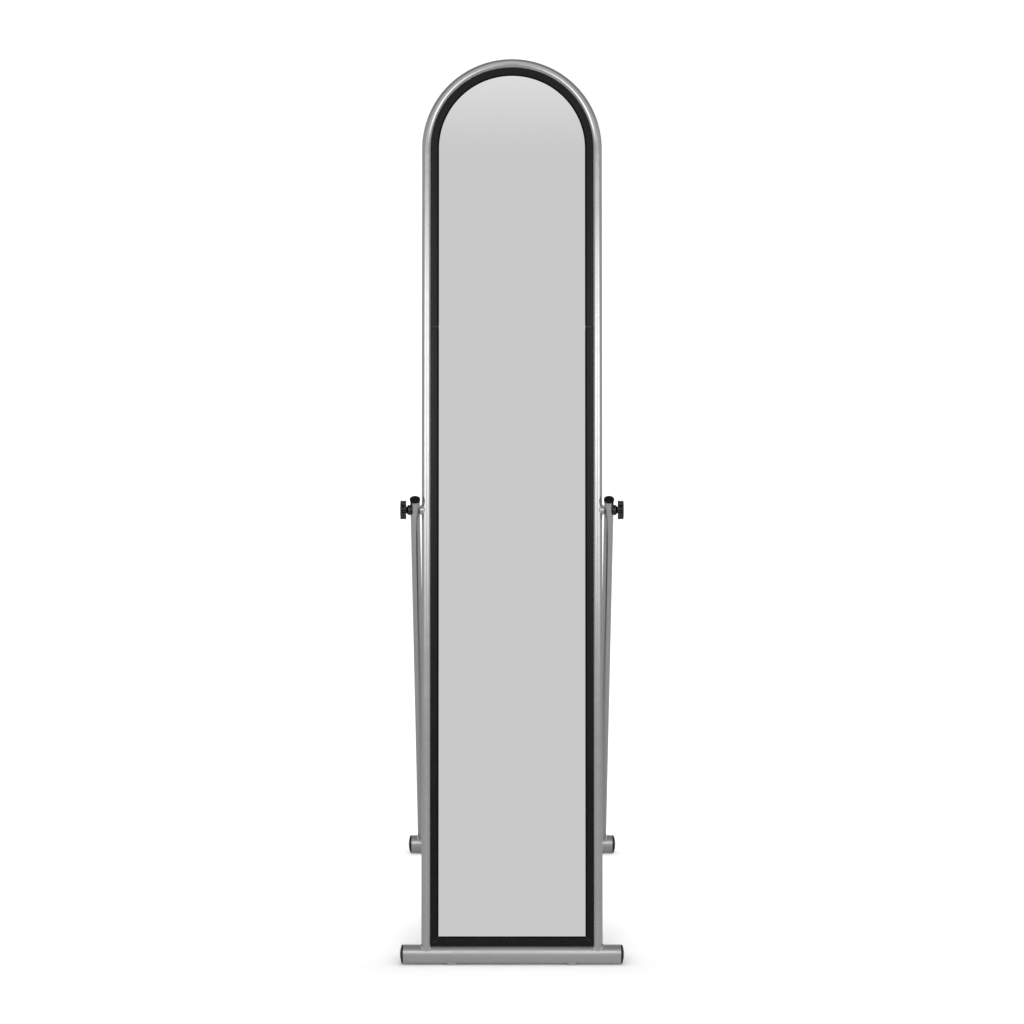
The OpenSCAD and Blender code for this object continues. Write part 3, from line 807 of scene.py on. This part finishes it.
MITRE_RUN = Vector((trim_outer - trim_inner, 0, TRIM_LOW - trim_bottom_in))
MITRE_UP = Vector((-MITRE_RUN.z, 0, MITRE_RUN.x)).normalized()
MITRE_AT = Vector((trim_inner, 0, trim_bottom_in))
side_section = trim_points(TRIM_FACE, trim_outer - wall_outer)
bottom_section = trim_points(TRIM_BOTTOM_FACE, BOTTOM_LAP)


def mitred(bm, keep_above):
    """Cuts a trim piece along the mitre at the lower right corner."""
    away = MITRE_UP if keep_above else -MITRE_UP
    bmesh.ops.bisect_plane(bm, geom=everything(bm), plane_co=MITRE_AT + away * TRIM_SEAM / 4,
                           plane_no=away, clear_inner=True)


def straight_end(bm, loops, levels):
    """Extrudes a trim's open section straight to each level, and draws the lip back a little at
    the last one, where the next piece of trim meets it."""
    for up in levels:
        verts, loops = extruded(bm, loops)
        for vert in verts:
            vert.co.z = up
    for vert in verts:
        if abs(vert.co.x) - trim_inner < LIP_SLOPE / 2:
            vert.co.x += math.copysign(LIP_PINCH, vert.co.x)


def trim_side():
    """The right side's trim, from the mitre up to the joint."""
    bm = trim_section(side_section, side_place(0))
    straight_end(bm, bm.edges[:], (TRIM_SEAM_UP - SEAM_RUN, TRIM_SEAM_UP - TRIM_SEAM / 2))
    mitred(bm, True)
    return close_trim(bm, lambda middle: middle.x - trim_inner < LIP_SLOPE)


def trim_arch():
    """The trim round the arch, with short straight ends down to the joints."""
    bm = trim_section(side_section, side_place(tube_mid_up))
    bmesh.ops.spin(bm, geom=everything(bm), cent=(0, 0, tube_mid_up), axis=(0, -1, 0),
                   angle=math.pi, steps=ARCH_STEPS)
    straight_end(bm, open_edges(bm), (TRIM_SEAM_UP + SEAM_RUN, TRIM_SEAM_UP + TRIM_SEAM / 2))
    return close_trim(bm, lambda middle: math.hypot(middle.x, max(middle.z - tube_mid_up, 0))
                      < trim_inner + LIP_SLOPE)


def trim_bottom():
    """The bottom trim between the two mitres."""
    bm = trim_section(bottom_section, lambda across, depth: (0, depth, trim_bottom_in - across))
    verts, _ = extruded(bm, bm.edges[:])
    bmesh.ops.translate(bm, vec=(trim_outer + TRIM_FACE, 0, 0), verts=verts)
    mitred(bm, False)
    bmesh.ops.mirror(bm, geom=everything(bm), axis="X", merge_dist=0.01 * MM)
    bmesh.ops.remove_doubles(bm, verts=bm.verts, dist=MERGE)
    return close_trim(bm, lambda middle: trim_bottom_in - middle.z < LIP_SLOPE)


# ---- tabs and screws at the back ----

tab_screw_x = wall_outer - TRIM_WALL - FLANGE_W + TAB_SCREW_IN


def tab_places():
    """Where each tab's screw sits, with X outwards along the tab."""
    places = [Matrix.Scale(side, 4, (1, 0, 0))
              @ Matrix.Translation((0, 0, TAB_LOW + pair * TAB_PITCH))
              for side in (LEFT, RIGHT) for pair in range(TAB_PAIRS)]
    places.append(Matrix.Translation((0, 0, tube_mid_up)) @ Matrix.Rotation(-math.pi / 2, 4, "Y"))
    return [place @ Matrix.Translation((tab_screw_x, 0, 0)) for place in places]


def joined(shape, places):
    """Copies a shape to each place, in one mesh."""
    whole = bmesh.new()
    for place in places:
        bm = shape()
        bmesh.ops.transform(bm, matrix=place, verts=bm.verts)
        if place.determinant() < 0:
            bmesh.ops.reverse_faces(bm, faces=bm.faces)
        mesh = bpy.data.meshes.new("copy")
        bm.to_mesh(mesh)
        bm.free()
        whole.from_mesh(mesh)
        bpy.data.meshes.remove(mesh)
    return whole


def tab():
    """A steel tab, rounded at its free end and tacked onto the frame tube."""
    inner, outer = -TAB_END, tube_x - tab_screw_x - TAB_INTO_TUBE
    bm = bmesh.new()
    bmesh.ops.create_cube(bm, size=1)
    bmesh.ops.scale(bm, vec=(outer - inner, TAB_T, TAB_W), verts=bm.verts)
    bmesh.ops.translate(bm, vec=((outer + inner) / 2, TAB_Y + TAB_T / 2, 0), verts=bm.verts)
    corners = [edge for edge in bm.edges if all(vert.co.x < 0 for vert in edge.verts)
               and abs(edge.verts[0].co.y - edge.verts[1].co.y) > TAB_T / 2]
    bmesh.ops.bevel(bm, geom=corners, offset=TAB_CORNER, offset_type="OFFSET", segments=6,
                    profile=0.5, affect="EDGES", material=-1)
    soften(bm, TAB_EDGE, 2, over=60)
    for up in (-TACK_APART, TACK_APART):
        tack = bmesh.ops.create_icosphere(bm, subdivisions=3, radius=1)["verts"]
        bmesh.ops.scale(bm, vec=TACK, verts=tack)
        bmesh.ops.translate(bm, vec=(outer - TACK_IN, TAB_Y + TAB_T, up * TAB_W), verts=tack)
    return bm


def tab_screw():
    """A pan-head screw with a cross recess, its shank reaching into the board."""
    bm = bmesh.new()
    bmesh.ops.create_grid(bm, x_segments=CROSS_SQUARES, y_segments=CROSS_SQUARES, size=CROSS_HALF)
    square = 2 * CROSS_HALF / CROSS_SQUARES
    middles = {face: face.calc_center_median() for face in bm.faces}
    slots = [face for face, middle in middles.items() if min(abs(middle.x), abs(middle.y)) < square]
    rim = open_edges(bm)
    bmesh.ops.create_circle(bm, cap_ends=False, segments=24, radius=SCREW_HEAD_R * SCREW_TOP_SHARE,
                            matrix=Matrix.Rotation(math.radians(45), 4, "Z"))
    loop = [edge for edge in bm.edges if not edge.link_faces]
    bmesh.ops.bridge_loops(bm, edges=rim + loop)
    head = [(SCREW_HEAD_R * share, SCREW_HEAD_H * down) for share, down in SCREW_HEAD_CURVE]
    shank = [(SCREW_R, SCREW_HEAD_H), (SCREW_R, SCREW_HEAD_H + SCREW_LEN)]
    for radius, down in head + shank:
        verts, loop = extruded(bm, loop)
        for vert in verts:
            flat = Vector((vert.co.x, vert.co.y)).normalized() * radius
            vert.co = (flat.x, flat.y, -down)
    bmesh.ops.holes_fill(bm, edges=open_edges(bm))
    sunk = fresh_verts(bmesh.ops.extrude_face_region(bm, geom=slots)["geom"])
    bmesh.ops.delete(bm, geom=slots, context="FACES")
    bmesh.ops.translate(bm, vec=(0, 0, -CROSS_DEEP), verts=sunk)
    bmesh.ops.scale(bm, vec=(CROSS_TAPER, CROSS_TAPER, 1), verts=sunk)
    bmesh.ops.recalc_face_normals(bm, faces=bm.faces)
    bmesh.ops.rotate(bm, cent=(0, 0, 0), matrix=Matrix.Rotation(-math.pi / 2, 3, "X"),
                     verts=bm.verts)
    bmesh.ops.translate(bm, vec=(0, TAB_Y + TAB_T + SCREW_HEAD_H, 0), verts=bm.verts)
    return bm


# ---- washers and knobs ----


def saddle_washer():
    """A black washer that saddles the leg and tapers towards the knob."""
    shoulder = washer_tip - WASHER_CONE
    reach = washer_tip - washer_base
    bottom = [(0, LOOSE_BORE + (WASHER_R - LOOSE_BORE) * step / WASHER_RINGS)
              for step in range(WASHER_RINGS + 1)]
    bm = lathe(bottom + [(shoulder - washer_base, WASHER_R), (reach, WASHER_TIP_R),
                         (reach, LOOSE_BORE)])
    saddle_r = leg_r + SADDLE_CLEAR
    for vert in bm.verts:
        if vert.co.x < reach / 4:
            vert.co.x = max(leg_x - washer_base + saddle(vert.co.y, saddle_r), 0)
    soften(bm, WASHER_EDGE, 3, over=32)
    bmesh.ops.translate(bm, vec=(washer_base, 0, 0), verts=bm.verts)
    return bm


def lobed(angle):
    """Radius of the knob's outline: its core, or a lobe where one stands out."""
    pitch = math.tau / KNOB_LOBES
    off = (angle + pitch / 2) % pitch - pitch / 2
    inside = LOBE_R ** 2 - (LOBE_RING * math.sin(off)) ** 2
    lobe = LOBE_RING * math.cos(off) + math.sqrt(inside) if inside > 0 else 0
    gap = CORE_R - lobe
    return (CORE_R + lobe + math.sqrt(gap ** 2 + LOBE_BLEND ** 2)) / 2 - OUTLINE_IN


def knob_rings():
    """The knob's rings from the bottom of its bore round to the middle of its face: how far out
    along X, and either a radius or, on the lobes, how far inside the outline."""
    hub = [(screw_out, KNOB_MIDDLE_R), (screw_out, PIVOT_BORE), (hub_x, PIVOT_BORE),
           (hub_x, HUB_R - HUB_EDGE), (hub_x + HUB_EDGE, HUB_R),
           (knob_x - HUB_FILLET / 2, HUB_R), (knob_x, HUB_R + HUB_FILLET)]
    lobes = [(knob_x, KNOB_FLAT_IN)]
    for half in range(2):
        for step in range(BULGE_STEPS + half):
            across = step / BULGE_STEPS
            bulge = (1 - abs(2 * across - 1) ** BULGE_POWER) ** (1 / BULGE_POWER)
            lobes.append((knob_x + KNOB_T / 2 * (half + across), KNOB_ROUND * (1 - bulge)))
    lobes.append((knob_out, KNOB_FLAT_IN))
    recess = [(knob_out, RECESS_R + 0.5 * MM), (knob_out - 0.15 * MM, RECESS_R + 0.1 * MM),
              (knob_out - RECESS, RECESS_R), (knob_out - RECESS, RECESS_R - 0.5 * MM),
              (knob_out - RECESS * 0.55, RECESS_R - 0.8 * MM),
              (knob_out - RECESS * 0.4, RECESS_R * 0.7), (knob_out - RECESS * 0.3, RECESS_R * 0.35),
              (knob_out - RECESS * 0.28, KNOB_MIDDLE_R)]
    parts = ((hub, False), (lobes, True), (recess, False))
    return [(along, radius, on_lobes) for part, on_lobes in parts for along, radius in part]


def star_knob():
    """A star knob: eight grooved lobes, a hub towards the washer and a capped recess outside."""
    bm = bmesh.new()
    bmesh.ops.create_circle(bm, cap_ends=False, segments=KNOB_LOBES * LOBE_POINTS, radius=1 * MM,
                            matrix=Matrix.Rotation(math.pi / 2, 4, "Y"))
    verts, loop = bm.verts[:], bm.edges[:]
    for number, (along, radius, on_lobes) in enumerate(knob_rings()):
        if number:
            verts, loop = extruded(bm, loop)
        for vert in verts:
            angle = math.atan2(vert.co.y, vert.co.z)
            reach = lobed(angle) - radius if on_lobes else radius
            vert.co = (along, reach * math.sin(angle), reach * math.cos(angle))
    bmesh.ops.holes_fill(bm, edges=open_edges(bm))
    bmesh.ops.recalc_face_normals(bm, faces=bm.faces)
    return bm


# ---- all the pieces ----

finish("arched_tube", arched_tube(), leaning, "mirror_frame", "frame_tube",
       [LACQUER])
finish("front_foot_tube", foot_tube(), front_foot, "mirror_frame", "base_tube",
       [THICK_LACQUER])
finish("rear_foot_tube", foot_tube(), rear_foot, "rear_stand", "rear_tube",
       [THICK_LACQUER])
finish("arched_mirror", mirror_glass(), leaning, "mirror_frame", "mirror_glass",
       [MIRROR, GLASS_EDGE, MIRROR_PAINT], sharp=15)
finish("back_board", arched_sheet(GLASS_Y + GLASS_T, BOARD_T, BOARD_ARRIS), leaning,
       "mirror_frame", "backing_board", [BOARD], sharp=15)
finish("arch_trim", trim_arch(), leaning, "mirror_frame", "trim_arch",
       [TRIM, LIP])
finish("bottom_trim", trim_bottom(), leaning, "mirror_frame", "trim_bottom",
       [TRIM, LIP])
finish("panel_tabs", joined(tab, tab_places()), leaning, "mirror_frame", "back_tabs",
       [LACQUER])
finish("panel_screws", joined(tab_screw, tab_places()), leaning, "mirror_frame", "tab_screws",
       [ZINC])

for word, side in SIDES.items():
    finish(f"side_trim_{word}", trim_side(), leaning, "mirror_frame", f"trim_side_{word}",
           [TRIM, LIP], side)
    finish(f"front_foot_cap_{word}", foot_cap(), front_foot, "mirror_frame", f"base_cap_{word}",
           [CAP], side)
    finish(f"rear_foot_cap_{word}", foot_cap(), rear_foot, "rear_stand", f"rear_cap_{word}",
           [CAP], side)
    finish(f"front_foot_glide_{word}", glide(), front_foot, "mirror_frame", f"front_glide_{word}",
           [GLIDE], side)
    finish(f"rear_foot_glide_{word}", glide(), rear_foot, "rear_stand", f"rear_glide_{word}",
           [GLIDE], side)
    finish(f"frame_weld_{word}", frame_bead(), leaning, "mirror_frame", f"base_weld_{word}",
           [GLINT_LIGHTENED_BEAD_LACQUER], side)
    finish(f"leg_weld_{word}", leg_bead(), stand, "rear_stand", f"rear_weld_{word}",
           [GLINT_LIGHTENED_BEAD_LACQUER], side)
    finish(f"pivot_weld_{word}", lug_bead(), leaning, "mirror_frame", f"lug_weld_{word}",
           [GLINT_LIGHTENED_BEAD_LACQUER], side)
    finish(f"threaded_lug_{word}", pivot_lug(), leaning, "mirror_frame", f"pivot_lug_{word}",
           [THICK_LACQUER], side)
    finish(f"stand_leg_{word}", leg_tube(), stand, "rear_stand", f"leg_{word}",
           [LACQUER], side)
    finish(f"stand_leg_cap_{word}", leg_cap(), stand, "rear_stand", f"leg_cap_{word}",
           [CAP], side)
    finish(f"leg_washer_{word}", saddle_washer(), stand, f"washer_{word}", f"saddle_washer_{word}",
           [MOULDED], side)
    finish(f"star_knob_{word}", star_knob(), stand, f"knob_{word}", f"knob_{word}",
           [MOULDED], side)
    screw = frame["nodes"][f"knob_screw_{word}"]
    screw.data.materials.clear()
    screw.data.materials.append(ZINC)

# ---- studio ----

WHITE_BACKDROP = 1.6
FLOOR_HALF = 20
FLOOR_WHITE = 1.8
# how much whiter the floor is painted behind the object and farther out: painted light over the
# object's shadow and over the horizon
FLOOR_LIFT = 1.5
FLOOR_LIFT_AROUND = (0.6, 2.4)
FLOOR_SEEN_BY_LIGHT = 0.95

# how bright the dome is towards the camera's side, the object's sides and the back
FRONT_LIGHT = 0.66
FLANK_LIGHT = 0.51
BACK_LIGHT = 0.45
# overhead, from the camera's side over to the back, and the share of it that the sides have
HIGH_LIGHT = 0.83
REAR_LIGHT = 0.47
HIGH_SIDE_SHARE = 0.6
# where one turns into the other: azimuths from the camera's side in degrees, then how far over
# from the front horizon the high part dims, and the elevation at which it takes over
FRONT_TO_FLANK = (2.5, 9)
FLANK_TO_BACK = (100, 128)
HIGH_TO_SIDE = (12, 42)
HIGH_TO_REAR = (38, 115)
LOW_TO_HIGH = (25.9, 27.8)

# a long soft box across the front, which leaves a slot for the camera to look through
BOX_LIGHT = 2.0
BOX_Y = -1.5
BOX_Z = 1.5
BOX_TALL = 1.8
BOX_FADE_LOW = (-0.75, -0.05)
BOX_FADE_HIGH = (0.15, 0.75)
BOX_HALF = 3
BOX_FADE_OUT = 1.6
BOX_SLOT = 0.2
BOX_SLOT_EDGE = 0.03

CAMERA_AT = (0, -5.466, 2.2875)
CAMERA_DOWN = 16
CAMERA_LENS = 117.74
CAMERA_SENSOR = 36


def shader_math(tree):
    """Short ways to calculate with sockets in a node tree."""
    def calc(operation, *values):
        return add(tree, "ShaderNodeMath", dict(enumerate(values)), operation=operation).outputs[0]

    def ramp(value, start, end, low, high, shape="SMOOTHSTEP"):
        return add(tree, "ShaderNodeMapRange",
                   {"Value": value, "From Min": start, "From Max": end,
                    "To Min": low, "To Max": high}, interpolation_type=shape).outputs[0]

    return calc, ramp


def studio_plane(name, half_wide, half_deep, turn=0.0):
    """A rectangle, turned about X, with the cleared node tree of its own material."""
    bm = bmesh.new()
    bmesh.ops.create_grid(bm, x_segments=1, y_segments=1, size=1)
    bmesh.ops.scale(bm, vec=(half_wide, half_deep, 1), verts=bm.verts)
    bmesh.ops.rotate(bm, cent=(0, 0, 0), matrix=Matrix.Rotation(turn, 3, "X"), verts=bm.verts)
    mesh = bpy.data.meshes.new(name)
    bm.to_mesh(mesh)
    bm.free()
    plane = bpy.data.objects.new(name, mesh)
    bpy.context.scene.collection.objects.link(plane)
    material = bpy.data.materials.new(name)
    material.use_nodes = True
    material.node_tree.nodes.clear()
    mesh.materials.append(material)
    return plane, material.node_tree


def floor():
    """A wide pale floor. What the camera sees of it directly is whiter than what lights the object.
    Behind the object and farther out it is painted whiter still: painted light that clears the
    object's shadow behind it and leaves the floor no horizon."""
    plane, tree = studio_plane("studio_floor", FLOOR_HALF, FLOOR_HALF)
    seen = add(tree, "ShaderNodeLightPath").outputs["Is Camera Ray"]
    place = add(tree, "ShaderNodeTexCoord").outputs["Object"]
    calc, ramp = shader_math(tree)
    across, depth, _ = add(tree, "ShaderNodeSeparateXYZ", {"Vector": place}).outputs
    away = calc("SQRT", calc("ADD", calc("MULTIPLY", across, across),
                             calc("MULTIPLY", depth, depth)))
    # painted light: the floor turns whiter behind the object, where its shadow falls, and farther
    # out
    lifted = FLOOR_WHITE * FLOOR_LIFT
    white = calc("MAXIMUM", ramp(depth, front_y, 0.0, FLOOR_WHITE, lifted, "LINEAR"),
                 ramp(away, *FLOOR_LIFT_AROUND, FLOOR_WHITE, lifted))
    tone = add(tree, "ShaderNodeMix", {0: seen, 2: FLOOR_SEEN_BY_LIGHT, 3: white}).outputs[0]
    matt = add(tree, "ShaderNodeBsdfDiffuse", {"Color": tone})
    add(tree, "ShaderNodeOutputMaterial", {"Surface": matt.outputs[0]})


def soft_box():
    """The long light in front, which fades at its edges and which the camera doesn't see."""
    panel, tree = studio_plane("soft_box", BOX_HALF, BOX_TALL / 2, math.pi / 2)
    panel.location = (0, BOX_Y, BOX_Z)
    panel.visible_camera = False
    calc, ramp = shader_math(tree)
    place = add(tree, "ShaderNodeTexCoord").outputs["Object"]
    parts = add(tree, "ShaderNodeSeparateXYZ", {"Vector": place})
    across, up = calc("ABSOLUTE", parts.outputs["X"]), parts.outputs["Z"]
    lower = calc("POWER", ramp(up, *BOX_FADE_LOW, 0, 1, "LINEAR"), 2.0)
    glow = calc("MULTIPLY", lower, ramp(up, *BOX_FADE_HIGH, BOX_LIGHT, 0))
    glow = calc("MULTIPLY", glow, ramp(across, BOX_FADE_OUT, BOX_HALF, 1, 0))
    slot = ramp(across, BOX_SLOT - BOX_SLOT_EDGE, BOX_SLOT + BOX_SLOT_EDGE, 0, 1)
    emission = add(tree, "ShaderNodeEmission", {"Strength": calc("MULTIPLY", glow, slot)})
    clear = add(tree, "ShaderNodeBsdfTransparent")
    both = add(tree, "ShaderNodeAddShader", {0: emission.outputs[0], 1: clear.outputs[0]})
    add(tree, "ShaderNodeOutputMaterial", {"Surface": both.outputs[0]})


def studio_dome():
    """A soft grey dome, and white where the camera looks at it."""
    world = bpy.data.worlds.new("studio_dome")
    bpy.context.scene.world = world
    world.use_nodes = True
    tree = world.node_tree
    tree.nodes.clear()
    calc, ramp = shader_math(tree)

    direction = add(tree, "ShaderNodeTexCoord").outputs["Generated"]
    across, forward, up = add(tree, "ShaderNodeSeparateXYZ", {"Vector": direction}).outputs
    facing = calc("MULTIPLY", forward, -1.0)
    elevation = calc("DEGREES", calc("ARCSINE", up))
    azimuth = calc("ABSOLUTE", calc("DEGREES", calc("ARCTAN2", across, facing)))
    rise = calc("DEGREES", calc("ARCTAN2", up, facing))

    low = calc("MAXIMUM", ramp(azimuth, *FRONT_TO_FLANK, FRONT_LIGHT, FLANK_LIGHT),
               ramp(azimuth, *FLANK_TO_BACK, 0, BACK_LIGHT))
    high = calc("MULTIPLY", ramp(rise, *HIGH_TO_REAR, HIGH_LIGHT, REAR_LIGHT),
                ramp(azimuth, *HIGH_TO_SIDE, 1, HIGH_SIDE_SHARE))
    risen = ramp(elevation, *LOW_TO_HIGH, 0, 1)
    light = add(tree, "ShaderNodeMix", {0: risen, 2: low, 3: high}).outputs[0]

    seen = add(tree, "ShaderNodeLightPath").outputs["Is Camera Ray"]
    shown = add(tree, "ShaderNodeMix", {0: seen, 2: light, 3: WHITE_BACKDROP}).outputs[0]
    background = add(tree, "ShaderNodeBackground", {"Color": (1, 1, 1, 1), "Strength": shown})
    add(tree, "ShaderNodeOutputWorld", {"Surface": background.outputs[0]})


def camera():
    """The photograph's view: straight from the front, a little from above, on a long lens."""
    eye = bpy.data.cameras.new("photo_camera")
    eye.sensor_width = CAMERA_SENSOR
    eye.lens = CAMERA_LENS
    held = bpy.data.objects.new("photo_camera", eye)
    held.location = CAMERA_AT
    held.rotation_euler = (math.radians(90 - CAMERA_DOWN), 0, 0)
    bpy.context.scene.collection.objects.link(held)
    bpy.context.scene.camera = held


floor()
soft_box()
studio_dome()
camera()
bpy.context.scene.view_settings.view_transform = "Standard"
